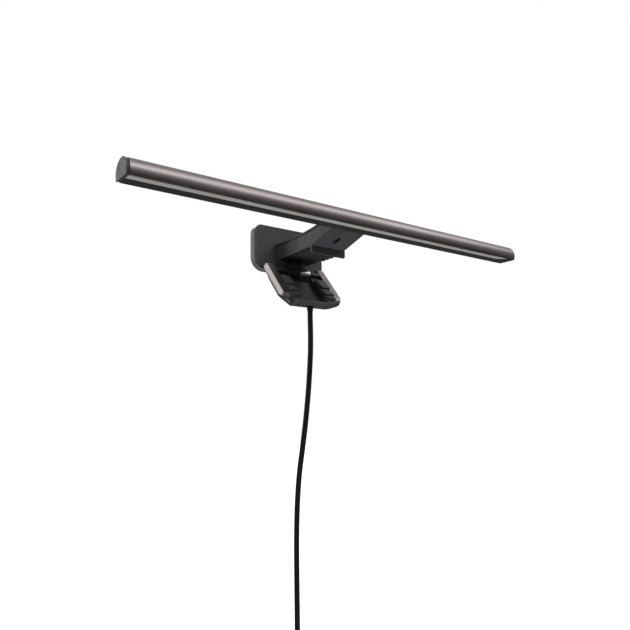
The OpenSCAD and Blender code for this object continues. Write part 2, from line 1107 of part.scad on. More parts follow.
module jaw_screws() color("dimgray") at_jaw() {
    for (p = screw_places) {
        translate([p[0], 0, p[1]])
            rod_y(1, back_y - 1.3, 1.1);
        translate([p[0], 0, p[1]])
            rod_y(back_y - 1.3, back_y - 0.2, 2.2);
    }
    for (s = [-1, 1]) {
        translate([s * foot_screw[0], foot_screw[1], -47.6])
            cylinder(r = 1.1, h = 9.8);
        translate([s * foot_screw[0], foot_screw[1], -48.7])
            cylinder(r = 2.2, h = 1.1);
    }
}

// ---------------------------------------------------------------- lead

module cord_gland() color(near_black) {
    translate([0, gland_y, -57])
        cylinder(r = gland_r, h = 5);
    translate([0, gland_y, -61])
        cylinder(r1 = cord_r + 0.1, r2 = gland_r, h = 4);
}

// A smooth curve through the route's points
function catmull(p0, p1, p2, p3, t) =
    0.5 * (2 * p1 + (p2 - p0) * t + (2 * p0 - 5 * p1 + 4 * p2 - p3) * t * t
    + (3 * p1 - p0 - 3 * p2 + p3) * t * t * t);

function smooth_route(p, gap) = let (n = len(p)) concat(
    [for (i = [0:n - 2])
        let (steps = max(1, round(norm(p[i + 1] - p[i]) / gap)))
            for (k = [0:steps - 1])
                catmull(p[max(i - 1, 0)], p[i], p[i + 1], p[min(i + 2, n - 1)], k / steps)],
    [p[n - 1]]
);

// A closed tube swept along points that all lie in one upright plane
module swept_tube(p, r, sides) {
    n = len(p);
    rings = [for (i = [0:n - 1])
        let (
            run = p[min(i + 1, n - 1)] - p[max(i - 1, 0)],
            along = run / norm(run),
            across = [1, 0, 0],
            up = cross(along, across)
        )
            for (k = [0:sides - 1])
                p[i] + r * (cos(360 * k / sides) * across + sin(360 * k / sides) * up)
    ];
    faces = concat(
        [[for (k = [0:sides - 1]) k]],
        [for (i = [0:n - 2])
            for (k = [0:sides - 1])
                [
                    i * sides + k, (i + 1) * sides + k,
                    (i + 1) * sides + (k + 1) % sides, i * sides + (k + 1) % sides
                ]],
        [[for (k = [sides - 1:-1:0]) (n - 1) * sides + k]]
    );
    polyhedron(points = rings, faces = faces);
}

module usb_cord() color("black") {
    swept_tube(smooth_route(cord_route, cord_ring_gap), cord_r, cord_sides);
}

module cord_coil() color("black") {
    translate(coil_mid)
        rotate([90, 0, 0])
            rotate_extrude()
                translate([(coil_in + coil_out) / 2, 0])
                    square([coil_out - coil_in, 2 * coil_half], center = true);
    translate([plug_x, plug_y, plug_top])
        cylinder(r = cord_r, h = coil_mid[2] - plug_top);
}

module coil_tie() color([0.15, 0.15, 0.16]) {
    high = coil_mid[2] + coil_out + 0.1;
    low = coil_mid[2] + coil_in - 1.1;
    difference() {
        translate([coil_mid[0] - tie_half, coil_mid[1] - coil_half - 1.4, low - 1.2])
            cube([2 * tie_half, 2 * coil_half + 2.8, high - low + 2.4]);
        translate([coil_mid[0] - tie_half - 1, coil_mid[1] - coil_half - 0.1, low])
            cube([2 * tie_half + 2, 2 * coil_half + 0.2, high - low]);
    }
}

module usb_plug_body() color("black") {
    translate([plug_x - 8, plug_y - 4.2, plug_top - plug_length])
        cube([16, 8.4, plug_length]);
}

module usb_plug_shell() color("silver") {
    low = plug_top - plug_length - shell_length;
    difference() {
        translate([plug_x - 6, plug_y - 2.25, low])
            cube([12, 4.5, shell_length]);
        translate([plug_x - 5.7, plug_y - 0.2, low - 1])
            cube([11.4, 2.15, shell_length - 4]);
    }
}

// ---------------------------------------------------------------- nodes

bar_housing();
end_cap_left();
end_cap_right();
bar_tray();
diffuser();
led_board();
led_chips();
driver_board();
bearing_left();
bearing_right();
tilt_axle();
friction_washers();
tilt_bush();
arm_frame();
arm_shell();
arm_top_cover();
grip_pad();
lip_pad();
sensor_lens();
sensor_board();
frame_screws();
arm_lead();
box_screws();
rear_plate();
rear_cover();
rear_diffuser();
rear_led_board();
rear_led_chips();
control_board();
cover_screws();
hinge_sleeve();
spring_barrel();
torsion_spring();
hinge_pin();
jaw_shell();
jaw_foot();
jaw_body();
pad_left();
pad_right();
jaw_weights();
jaw_lead();
jaw_screws();
cord_gland();
usb_cord();
cord_coil();
coil_tie();
usb_plug_body();
usb_plug_shell();
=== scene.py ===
import json
import math

import bmesh
import bpy
from mathutils import Euler, Matrix, Vector


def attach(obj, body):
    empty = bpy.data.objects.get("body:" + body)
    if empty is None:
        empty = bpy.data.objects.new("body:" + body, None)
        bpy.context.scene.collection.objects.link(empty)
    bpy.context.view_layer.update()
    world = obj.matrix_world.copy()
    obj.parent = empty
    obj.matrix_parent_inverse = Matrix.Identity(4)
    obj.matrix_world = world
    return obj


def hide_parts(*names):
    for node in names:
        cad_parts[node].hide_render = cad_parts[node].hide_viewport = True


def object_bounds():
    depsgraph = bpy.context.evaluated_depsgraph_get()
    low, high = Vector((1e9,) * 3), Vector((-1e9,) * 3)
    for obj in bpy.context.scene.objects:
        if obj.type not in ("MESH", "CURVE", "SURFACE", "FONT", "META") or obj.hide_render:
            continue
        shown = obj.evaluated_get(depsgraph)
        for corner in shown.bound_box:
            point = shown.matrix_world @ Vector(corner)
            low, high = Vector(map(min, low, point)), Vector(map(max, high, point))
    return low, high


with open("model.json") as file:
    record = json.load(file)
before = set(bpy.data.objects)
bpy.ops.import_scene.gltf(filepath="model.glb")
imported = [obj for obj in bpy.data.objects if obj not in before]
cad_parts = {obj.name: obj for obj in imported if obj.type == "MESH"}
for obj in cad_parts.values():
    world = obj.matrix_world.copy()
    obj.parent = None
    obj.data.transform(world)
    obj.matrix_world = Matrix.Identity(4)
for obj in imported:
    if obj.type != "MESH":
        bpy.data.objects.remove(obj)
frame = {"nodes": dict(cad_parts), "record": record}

# Metres, in the part's own frame: +X along the bar, -Y towards the user, +Z up.
# The origin is the top front edge of the monitor that the lamp hangs on.
MM = 0.001
CAD_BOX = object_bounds()
SLOT_OF = {s["node"]: s["material_slot"] for s in frame["record"]["subparts"]}
BODY_OF = {n: b for b, ns in frame["record"]["behaviour"]["bodies"].items() for n in ns}
HINGE = Vector((0, 58.8, -12.2)) * MM
JAW_LEAN = math.radians(40)
SHARP = math.radians(32)


# ---------------------------------------------------------------- camera

def make_camera():
    """A camera in front of the lamp, low and to its left, looking slightly up."""
    heading, rise, roll = math.radians(37.35), math.radians(9.09), math.radians(-0.92)
    cam = bpy.data.objects.new("camera", bpy.data.cameras.new("camera"))
    cam.data.sensor_width = 36
    cam.data.lens = 36.31
    cam.data.clip_start, cam.data.clip_end = 0.01, 50
    turn = Euler((math.pi / 2 + rise, 0, -heading)).to_matrix() @ Euler((0, 0, roll)).to_matrix()
    cam.matrix_world = Matrix.Translation((-0.42058, -0.52703, -0.17637)) @ turn.to_4x4()
    bpy.context.scene.collection.objects.link(cam)
    bpy.context.scene.camera = cam


# ---------------------------------------------------------------- mesh helpers

def finish_piece(obj, body, slot, *nodes, angle=38):
    """Smooth shading, the slot's material and a body for a new piece; hides the nodes it stands for.
    """
    for p in obj.data.polygons:
        p.use_smooth = True
    obj.data.set_sharp_from_angle(angle=math.radians(angle))
    weigh = obj.modifiers.new("even_normals", "WEIGHTED_NORMAL")
    weigh.keep_sharp = True
    obj.data.materials.clear()
    obj.data.materials.append(material(slot))
    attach(obj, body)
    if nodes:
        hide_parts(*nodes)


def object_of(bm, name):
    """A new object from a bmesh."""
    bmesh.ops.recalc_face_normals(bm, faces=bm.faces)
    mesh = bpy.data.meshes.new(name)
    bm.to_mesh(mesh)
    bm.free()
    obj = bpy.data.objects.new(name, mesh)
    bpy.context.scene.collection.objects.link(obj)
    return obj


def round_edges(bm, width, segments):
    """Rounds the outer edges that are sharper than SHARP."""
    sharp = [
        e for e in bm.edges
        if len(e.link_faces) == 2 and e.is_convex and e.calc_face_angle(0) > SHARP
    ]
    bmesh.ops.bevel(
        bm, geom=sharp, offset=width, offset_type="OFFSET", segments=segments,
        profile=0.5, affect="EDGES", clamp_overlap=False,
    )


def refine(node, width, segments):
    """A copy of a CAD node with its outer edges rounded, which stands for it."""
    bm = bmesh.new()
    bm.from_mesh(frame["nodes"][node].data)
    bmesh.ops.remove_doubles(bm, verts=bm.verts, dist=1e-6)
    flat = math.radians(0.5)
    bmesh.ops.dissolve_limit(bm, angle_limit=flat, verts=bm.verts, edges=bm.edges)
    round_edges(bm, width * MM, segments)
    obj = object_of(bm, node + ".rounded")
    finish_piece(obj, BODY_OF[node], SLOT_OF[node], node)


def bridge(bm, rings):
    """Joins closed rings of vertices with quads and caps both ends."""
    for a, b in zip(rings, rings[1:]):
        for k in range(len(a)):
            m = (k + 1) % len(a)
            bm.faces.new((a[k], a[m], b[m], b[k]))
    bm.faces.new(rings[0])
    bm.faces.new(rings[-1])


def tube(name, path, radius, sides):
    """A round tube along a path of points, without twist. radius may be a function of 0..1."""
    points = [Vector(p) for p in path]
    bm = bmesh.new()
    rings = []
    along = (points[1] - points[0]).normalized()
    side = along.orthogonal().normalized()
    for i, p in enumerate(points):
        ahead = points[min(i + 1, len(points) - 1)] - points[max(i - 1, 0)]
        new_along = ahead.normalized()
        side = (along.rotation_difference(new_along) @ side).normalized()
        along = new_along
        up = along.cross(side)
        r = radius(i / (len(points) - 1)) if callable(radius) else radius
        rings.append([
            bm.verts.new(p + r * (math.cos(t) * side + math.sin(t) * up))
            for t in (2 * math.pi * k / sides for k in range(sides))
        ])
    bridge(bm, rings)
    return object_of(bm, name)


def loft(name, sections, sides):
    """A closed body through rounded-square sections (z, half x, half y, squareness)."""
    bm = bmesh.new()
    rings = []
    for z, half_x, half_y, squareness in sections:
        power = 2 / squareness
        rings.append([
            bm.verts.new((
                half_x * math.copysign(abs(math.cos(t)) ** power, math.cos(t)),
                half_y * math.copysign(abs(math.sin(t)) ** power, math.sin(t)),
                z,
            ))
            for t in (2 * math.pi * (k + 0.5) / sides for k in range(sides))
        ])
    bridge(bm, rings)
    return object_of(bm, name)


def round_rings(bm, place, profile, sides):
    """Rings of vertices about +Z, one for each (r, z) of the profile, moved by the matrix."""
    return [
        [
            bm.verts.new(place @ Vector((r * math.cos(t), r * math.sin(t), z)))
            for t in (2 * math.pi * k / sides for k in range(sides))
        ]
        for r, z in profile
    ]


# ---------------------------------------------------------------- materials

MATERIALS = {}


def start_material(name):
    """A new material: its tree, its shader and the object's own coordinates."""
    mat = bpy.data.materials.new(name)
    mat.use_nodes = True
    tree = mat.node_tree
    coords = tree.nodes.new("ShaderNodeTexCoord").outputs["Object"]
    return mat, tree, tree.nodes["Principled BSDF"], coords


def noise(tree, coords, scale, detail=3, stretch=(1, 1, 1)):
    """Noise of a given scale, in features per metre, stretched per axis."""
    place = tree.nodes.new("ShaderNodeMapping")
    place.inputs["Scale"].default_value = stretch
    tree.links.new(coords, place.inputs["Vector"])
    tex = tree.nodes.new("ShaderNodeTexNoise")
    tex.inputs["Scale"].default_value = scale
    tex.inputs["Detail"].default_value = detail
    tree.links.new(place.outputs["Vector"], tex.inputs["Vector"])
    return tex.outputs["Fac"]


def spread(tree, value, low, high, start=0.3, end=0.7):
    """A value mapped from its usual span onto low to high."""
    node = tree.nodes.new("ShaderNodeMapRange")
    node.inputs["From Min"].default_value = start
    node.inputs["From Max"].default_value = end
    node.inputs["To Min"].default_value = low
    node.inputs["To Max"].default_value = high
    tree.links.new(value, node.inputs["Value"])
    return node.outputs["Result"]


def mix(tree, factor, a, b):
    """A colour between a and b, each of them a colour or a socket."""
    node = tree.nodes.new("ShaderNodeMix")
    node.data_type = "RGBA"
    tree.links.new(factor, node.inputs["Factor"])
    for socket, value in ((node.inputs[6], a), (node.inputs[7], b)):
        if isinstance(value, tuple):
            socket.default_value = (*value, 1)
        else:
            tree.links.new(value, socket)
    return node.outputs[2]


def edge_mask(tree, radius):
    """1 along sharp edges and 0 on flat faces."""
    bevel = tree.nodes.new("ShaderNodeBevel")
    bevel.samples = 4
    bevel.inputs["Radius"].default_value = radius
    geometry = tree.nodes.new("ShaderNodeNewGeometry")
    dot = tree.nodes.new("ShaderNodeVectorMath")
    dot.operation = "DOT_PRODUCT"
    tree.links.new(bevel.outputs["Normal"], dot.inputs[0])
    tree.links.new(geometry.outputs["Normal"], dot.inputs[1])
    return spread(tree, dot.outputs["Value"], 1, 0, 0.86, 0.99)


def bump(tree, bsdf, layers):
    """Bump from (height socket, depth in metres) layers, one on top of the other."""
    normal = None
    for height, depth in layers:
        node = tree.nodes.new("ShaderNodeBump")
        node.inputs["Distance"].default_value = depth
        node.inputs["Strength"].default_value = 1
        tree.links.new(height, node.inputs["Height"])
        if normal:
            tree.links.new(normal, node.inputs["Normal"])
        normal = node.outputs["Normal"]
    tree.links.new(normal, bsdf.inputs["Normal"])


def moulded(name, dark, light, rough, grain=1400, depth=0.00002, wear=0.25):
    """Moulded plastic or rubber: a fine spark-eroded grain, soft mottling and rubbed edges."""
    mat, tree, bsdf, coords = start_material(name)
    cloud = noise(tree, coords, 35, 4)
    fine = noise(tree, coords, grain, 2)
    body = mix(tree, spread(tree, cloud, 0, 1), dark, light)
    rubbed = tuple(min(1, c * (1 + 2.2 * wear) + 0.015 * wear) for c in light)
    edges = tree.nodes.new("ShaderNodeMath")
    edges.operation = "MULTIPLY"
    tree.links.new(edge_mask(tree, 0.0005), edges.inputs[0])
    tree.links.new(spread(tree, noise(tree, coords, 160, 3), 0.2, 1), edges.inputs[1])
    tree.links.new(mix(tree, edges.outputs[0], body, rubbed), bsdf.inputs["Base Color"])
    tree.links.new(
        spread(tree, noise(tree, coords, 90, 5), rough - 0.05, rough + 0.07),
        bsdf.inputs["Roughness"],
    )
    bump(tree, bsdf, [(fine, depth), (noise(tree, coords, 60, 2), depth * 2)])
    return mat


def anodised(name, dark, light, rough):
    """Bead-blasted, anodised aluminium, drawn along X."""
    mat, tree, bsdf, coords = start_material(name)
    bsdf.inputs["Metallic"].default_value = 1
    drawn = noise(tree, coords, 900, 3, (0.02, 1, 1))
    blasted = noise(tree, coords, 3200, 2)
    cloud = noise(tree, coords, 22, 4, (0.3, 1, 1))
    body = mix(tree, spread(tree, cloud, 0, 1), dark, light)
    bright = tuple(min(1, c * 1.35) for c in light)
    tree.links.new(mix(tree, edge_mask(tree, 0.0003), body, bright), bsdf.inputs["Base Color"])
    tree.links.new(
        spread(tree, drawn, rough - 0.05, rough + 0.06), bsdf.inputs["Roughness"]
    )
    bump(tree, bsdf, [(blasted, 0.000012), (drawn, 0.000006)])
    return mat


def turned_steel(name, colour, rough, stretch=(1, 0.03, 0.03)):
    """Steel with the fine rings that turning leaves."""
    mat, tree, bsdf, coords = start_material(name)
    bsdf.inputs["Metallic"].default_value = 1
    rings = noise(tree, coords, 1500, 3, stretch)
    dark = tuple(c * 0.82 for c in colour)
    tree.links.new(mix(tree, spread(tree, rings, 0, 1), dark, colour), bsdf.inputs["Base Color"])
    tree.links.new(
        spread(tree, noise(tree, coords, 120, 4), rough - 0.06, rough + 0.08),
        bsdf.inputs["Roughness"],
    )
    bump(tree, bsdf, [(rings, 0.00001)])
    return mat


def frosted(name):
    """Opal plastic over a light source that is switched off."""
    mat, tree, bsdf, coords = start_material(name)
    bsdf.inputs["Subsurface Weight"].default_value = 0.25
    bsdf.inputs["Subsurface Radius"].default_value = (0.002, 0.002, 0.0018)
    bsdf.inputs["Subsurface Scale"].default_value = 0.5
    cloud = noise(tree, coords, 40, 3, (0.2, 1, 1))
    tree.links.new(
        mix(tree, spread(tree, cloud, 0, 1), (0.62, 0.61, 0.58), (0.72, 0.71, 0.68)),
        bsdf.inputs["Base Color"],
    )
    tree.links.new(
        spread(tree, noise(tree, coords, 300, 3), 0.3, 0.42), bsdf.inputs["Roughness"]
    )
    bump(tree, bsdf, [(noise(tree, coords, 2600, 2), 0.000008)])
    return mat


def circuit_board(name, mask, trace):
    """Solder mask with faint copper tracks below it."""
    mat, tree, bsdf, coords = start_material(name)
    tracks = tree.nodes.new("ShaderNodeTexBrick")
    tracks.inputs["Scale"].default_value = 300
    tracks.inputs["Mortar Size"].default_value = 0.06
    tree.links.new(coords, tracks.inputs["Vector"])
    tree.links.new(mix(tree, tracks.outputs["Fac"], mask, trace), bsdf.inputs["Base Color"])
    tree.links.new(
        spread(tree, noise(tree, coords, 200, 3), 0.28, 0.4), bsdf.inputs["Roughness"]
    )
    bump(tree, bsdf, [(tracks.outputs["Fac"], 0.00002)])
    return mat


def tinted_window(name):
    """Dark tinted, polished plastic with a few fine scratches."""
    mat, tree, bsdf, coords = start_material(name)
    bsdf.inputs["Coat Weight"].default_value = 0.5
    bsdf.inputs["Coat Roughness"].default_value = 0.04
    tree.links.new(
        mix(tree, noise(tree, coords, 50, 2), (0.004, 0.004, 0.006), (0.012, 0.011, 0.014)),
        bsdf.inputs["Base Color"],
    )
    tree.links.new(
        spread(tree, noise(tree, coords, 900, 4, (1, 0.05, 1)), 0.08, 0.2),
        bsdf.inputs["Roughness"],
    )
    bump(tree, bsdf, [(noise(tree, coords, 900, 2, (1, 0.05, 1)), 0.000003)])
    return mat


def cable_jacket(name):
    """A smooth black lead jacket with a faint sheen and slight unevenness."""
    mat, tree, bsdf, coords = start_material(name)
    bsdf.inputs["Sheen Weight"].default_value = 0.03
    bsdf.inputs["Sheen Roughness"].default_value = 0.4
    bsdf.inputs["Specular IOR Level"].default_value = 0.35
    tree.links.new(
        mix(tree, noise(tree, coords, 60, 3), (0.003, 0.003, 0.0035), (0.009, 0.009, 0.01)),
        bsdf.inputs["Base Color"],
    )
    tree.links.new(
        spread(tree, noise(tree, coords, 240, 4), 0.42, 0.58), bsdf.inputs["Roughness"]
    )
    bump(tree, bsdf, [
        (noise(tree, coords, 1800, 2), 0.000012), (noise(tree, coords, 130, 2), 0.00005),
    ])
    return mat


MAKERS = {
    "anodised_taupe": lambda n: anodised(n, (0.30, 0.262, 0.262), (0.352, 0.312, 0.311), 0.36),
    "charcoal_plastic": lambda n: moulded(n, (0.058, 0.058, 0.062), (0.072, 0.071, 0.075), 0.5),
    "light_charcoal_plastic": lambda n: moulded(n, (0.205, 0.205, 0.207), (0.24, 0.238, 0.24), 0.46),
    "black_plastic": lambda n: moulded(n, (0.03, 0.03, 0.031), (0.04, 0.04, 0.042), 0.5),
    "frosted_plastic": frosted,
    "window_plastic": tinted_window,
    "bright_steel": lambda n: turned_steel(n, (0.70, 0.69, 0.67), 0.26),
    "dark_steel": lambda n: turned_steel(n, (0.16, 0.16, 0.165), 0.34, (1, 1, 1)),
    "bronze": lambda n: turned_steel(n, (0.55, 0.38, 0.2), 0.4),
    "grip_rubber": lambda n: moulded(n, (0.022, 0.022, 0.023), (0.032, 0.032, 0.034), 0.74, 900),
    "jaw_rubber": lambda n: moulded(n, (0.085, 0.085, 0.087), (0.105, 0.104, 0.107), 0.66, 900),
    "board_white": lambda n: circuit_board(n, (0.74, 0.74, 0.71), (0.66, 0.66, 0.62)),
    "board_green": lambda n: circuit_board(n, (0.02, 0.13, 0.06), (0.035, 0.2, 0.09)),
    "led_phosphor": lambda n: moulded(n, (0.75, 0.62, 0.22), (0.85, 0.72, 0.3), 0.4),
    "cable_jacket": cable_jacket,
}


def material(slot):
    """The material of a slot, made once."""
    if slot not in MATERIALS:
        MATERIALS[slot] = MAKERS[slot](slot)
    return MATERIALS[slot]


def paint_cad_nodes():
    """Every CAD node gets its slot's material, on the object and not on its mesh."""
    for name, obj in frame["nodes"].items():
        for s in obj.material_slots:
            s.link = "OBJECT"
            s.material = material(SLOT_OF[name])


# ---------------------------------------------------------------- lead

# The lead's route and coil, in mm
CORD_R = 3 * MM
ROUTE = [
    (0, 33, -61), (0, 33, -70), (0, 32.8, -84), (0, 33.2, -102),
    (0, 34.8, -120), (0, 38, -146), (0, 43.5, -178), (0, 50.5, -210),
    (0, 57, -238), (0, 61, -266), (0, 63.2, -296), (0, 64, -328),
    (0, 64, -362), (0, 64, -398), (0, 64, -434), (0, 64, -470),
]
COIL_INNER, COIL_GAP = 31, 6.2
COIL_MID = Vector((COIL_INNER, 76.4, -470))
COIL_TURNS, POINTS_PER_TURN, STEP_ACROSS = 5, 60, 60
PLUG_X, PLUG_Y, PLUG_TOP = -COIL_GAP, COIL_MID.y - COIL_GAP, -500
PLUG_LENGTH = 30


def smooth_route(points, gap):
    """A smooth curve through the route's points, with a point about every gap."""
    p = [Vector(q) for q in points]
    curve = []
    for i in range(len(p) - 1):
        a, b, c, d = p[max(i - 1, 0)], p[i], p[i + 1], p[min(i + 2, len(p) - 1)]
        steps = max(1, round((c - b).length / gap))
        for k in range(steps):
            t = k / steps
            curve.append(0.5 * (
                2 * b + (c - a) * t + (2 * a - 5 * b + 4 * c - d) * t * t
                + (3 * b - a - 3 * c + d) * t * t * t
            ))
    return curve + [p[-1]]


def ease(value, start, end):
    """0 before start, 1 after end and smooth between."""
    t = min(1, max(0, (value - start) / (end - start)))
    return t * t * (3 - 2 * t)


def coil_path():
    """Five turns in an upright plane: three inner ones side by side, then two round them.
    An angle of 0 is the coil's left side, 90 its bottom, 180 its right and 270 its top."""
    points = []
    for i in range(1, COIL_TURNS * POINTS_PER_TURN + 1):
        a = 360 * i / POINTS_PER_TURN
        layer = ease(a, 990, 990 + STEP_ACROSS)
        place = -2 + sum(ease(a, s, s + STEP_ACROSS) for s in (0, 360, 720))
        place -= sum(ease(a, s, s + STEP_ACROSS) for s in (1230, 1590))
        r = COIL_INNER + COIL_GAP * layer
        turn = math.radians(a)
        points.append(COIL_MID + Vector(
            (-r * math.cos(turn), COIL_GAP * place, -r * math.sin(turn))
        ))
    return points


def make_cord():
    """The lead from the gland down to its plug, with the spare length coiled."""
    tail = [Vector((PLUG_X, PLUG_Y, z)) for z in (-474, -480, -486, -492, -498, -503)]
    path = [p * MM for p in smooth_route(ROUTE, 6) + coil_path() + tail]
    lead = tube("lead", path, CORD_R, sides=20)
    finish_piece(lead, "jaw", "cable_jacket", "usb_cord", "cord_coil", angle=60)
    return lead, path


# ---------------------------------------------------------------- pieces on the lead

def make_gland():
    """The short tapered relief where the lead leaves the jaw, with three soft ribs."""
    length, straight, top_r, narrows, rib, rib_gap = 9, 5, 3.6, 0.45, 0.16, 1.33
    steps = 36
    x, y, exit_z = ROUTE[0]
    top = exit_z + length
    path = [Vector((x, y, top - length * k / steps)) * MM for k in range(steps + 1)]

    def radius(t):
        depth = length * t - straight
        if depth < 0:
            return top_r * MM
        taper = top_r - narrows * depth / (length - straight)
        return (taper - rib * (0.5 - 0.5 * math.cos(2 * math.pi * depth / rib_gap))) * MM

    gland = tube("gland", path, radius, sides=32)
    finish_piece(gland, "jaw", "cable_jacket", "cord_gland", angle=50)


def make_tie():
    """A hook-and-loop strap round the coil's top, with slightly worn edges."""
    half_y, middle, half_z, corner, thick = 11.1, -436.4, 7.8, 4.2, 1.1
    half_wide, worn, steps = 7, 0.25, 8
    outline = []
    for n, (sy, sz) in enumerate(((1, 1), (-1, 1), (-1, -1), (1, -1))):
        for k in range(steps + 1):
            a = math.radians(90 * (n + k / steps))
            outline.append((
                sy * (half_y - corner) + corner * math.cos(a),
                middle + sz * (half_z - corner) + corner * math.sin(a),
                math.cos(a), math.sin(a),
            ))
    bm = bmesh.new()
    centre = COIL_MID.y
    rows = []
    inner = half_wide - worn
    for x, sink in ((-half_wide, worn), (-inner, 0), (inner, 0), (half_wide, worn)):
        rows.append([
            (
                bm.verts.new(Vector((COIL_MID.x + x, centre + y - ny * sink, z - nz * sink)) * MM),
                bm.verts.new(Vector((
                    COIL_MID.x + x, centre + y - ny * (thick - sink), z - nz * (thick - sink)
                )) * MM),
            )
            for y, z, ny, nz in outline
        ])
    count = len(outline)
    for a, b in zip(rows, rows[1:]):
        for k in range(count):
            m = (k + 1) % count
            bm.faces.new((a[k][0], a[m][0], b[m][0], b[k][0]))
            bm.faces.new((a[k][1], b[k][1], b[m][1], a[m][1]))
    for row, flip in ((rows[0], 1), (rows[-1], -1)):
        for k in range(count):
            m = (k + 1) % count
            bm.faces.new((row[k][0], row[k][1], row[m][1], row[m][0])[::flip])
    tie = object_of(bm, "tie")
    finish_piece(tie, "jaw", "grip_rubber", "coil_tie", angle=40)


def make_plug():
    """The moulded USB-A plug: a grip with fine ridges, its shell, contacts and tongue."""
    z0 = PLUG_TOP - PLUG_LENGTH
    ridges, ridge_gap = 9, 1.6
    sections = [(z0, 7.5, 3.7, 5), (z0 + 0.5, 7.9, 4.1, 5)]
    for k in range(ridges):
        z = z0 + 4 + ridge_gap * k
        sections += [
            (z, 7.95, 4.15, 5), (z + 0.4, 7.6, 4.0, 5),
            (z + 0.8, 7.6, 4.0, 5), (z + 1.2, 7.95, 4.15, 5),
        ]
    sections += [
        (z0 + 19.5, 7.95, 4.15, 5), (z0 + 21.5, 7.2, 4.1, 4), (z0 + 23, 5.4, 4.0, 3),
        (z0 + 24.2, 4.4, 3.9, 2.2), (z0 + 26, 3.9, 3.8, 2), (z0 + 29.6, 3.4, 3.4, 2),
        (z0 + 30, 3.1, 3.1, 2),
    ]
    scaled = [(z * MM, a * MM, b * MM, q) for z, a, b, q in sections]
    body = loft("plug.grip", scaled, sides=56)
    body.data.transform(Matrix.Translation(Vector((PLUG_X, PLUG_Y, 0)) * MM))
    finish_piece(body, "jaw", "cable_jacket", "usb_plug_body", angle=40)
    make_plug_shell(z0)
    tongue = boxes(
        "plug.tongue", [((PLUG_X, PLUG_Y + 0.95, z0 - 8.6), (10.8, 1.7, 17.4))], 0.15
    )
    finish_piece(tongue, "jaw", "black_plastic")
    contacts = boxes("plug.contacts", [
        ((PLUG_X + x, PLUG_Y + 0.05, z0 - 12), (1.1, 0.16, 7)) for x in (-3.5, -1.2, 1.2, 3.5)
    ], 0.03)
    finish_piece(contacts, "jaw", "bright_steel")


def make_plug_shell(z0):
    """The plug's folded steel shell, with two latch windows in each broad side."""
    half_x, half_y, corner, thick = 6.0, 2.25, 0.6, 0.3
    across = [-half_x + corner, -4.4, -2.1, 0, 2.1, 4.4, half_x - corner]
    bends = [math.pi / 8, math.pi / 4, 3 * math.pi / 8]
    rim = [(x, -half_y) for x in across]
    rim += [
        (half_x - corner * (1 - math.sin(t)), -half_y + corner * (1 - math.cos(t)))
        for t in bends
    ]
    rim += [(half_x, -half_y + corner), (half_x, half_y - corner)]
    rim += [
        (half_x - corner * (1 - math.cos(t)), half_y - corner * (1 - math.sin(t)))
        for t in bends
    ]
    half = len(rim)
    rim += [(-x, -y) for x, y in rim[:half]]
    levels = [z0 + 0.5, z0 - 7.2, z0 - 9.4, z0 - 18.4, z0 - 18.7]
    bm = bmesh.new()
    rings = []
    for n, z in enumerate(levels):
        shrink = 0.12 if n == len(levels) - 1 else 0
        rings.append([
            bm.verts.new(Vector((
                PLUG_X + x * (1 - shrink / half_x), PLUG_Y + y * (1 - shrink / half_y), z
            )) * MM)
            for x, y in rim
        ])
    for n, (a, b) in enumerate(zip(rings, rings[1:])):
        for k in range(len(rim)):
            window = n == 1 and k % half in (1, 4)
            m = (k + 1) % len(rim)
            if not window:
                bm.faces.new((a[k], a[m], b[m], b[k]))
    shell = object_of(bm, "plug.shell")
    wall = shell.modifiers.new("wall", "SOLIDIFY")
    wall.thickness = thick * MM
    wall.offset = -1
    finish_piece(shell, "jaw", "bright_steel", "usb_plug_shell", angle=40)


def boxes(name, items, rounding):
    """Several boxes, each a (middle, size) in mm, with rounded edges."""
    bm = bmesh.new()
    for middle, size in items:
        place = Matrix.Translation(Vector(middle) * MM)
        scale = Matrix.Diagonal((*(Vector(size) * MM), 1))
        bmesh.ops.create_cube(bm, size=1, matrix=place @ scale)
    round_edges(bm, rounding * MM, segments=2)
    return object_of(bm, name)


# ---------------------------------------------------------------- screws

def add_screw(bm, place, shank_r, shank, head_r, head):
    """A cylinder-head screw with a hexagon socket. +Z of place points out of the head."""
    shank_sides, sides = 20, 36
    bridge(bm, round_rings(bm, place, [
        (shank_r * 0.6, -head - shank), (shank_r, -head - shank + 0.4 * MM), (shank_r, -head),
    ], shank_sides))
    rim, depth, socket = 0.25 * MM, head * 0.6, head_r * 0.5
    rings = round_rings(bm, place, [
        (shank_r, -head), (head_r, -head), (head_r, -rim), (head_r - rim * 0.3, -rim * 0.3),
        (head_r - rim, 0), (socket * 1.12, 0),
    ], sides)
    for z in (-0.1 * MM, -depth):
        ring = []
        for k in range(sides):
            t = 2 * math.pi * k / sides
            wedge = (t % (math.pi / 3)) - math.pi / 6
            r = socket * math.cos(math.pi / 6) / math.cos(wedge)
            ring.append(bm.verts.new(place @ Vector((r * math.cos(t), r * math.sin(t), z))))
        rings.append(ring)
    bridge(bm, rings)


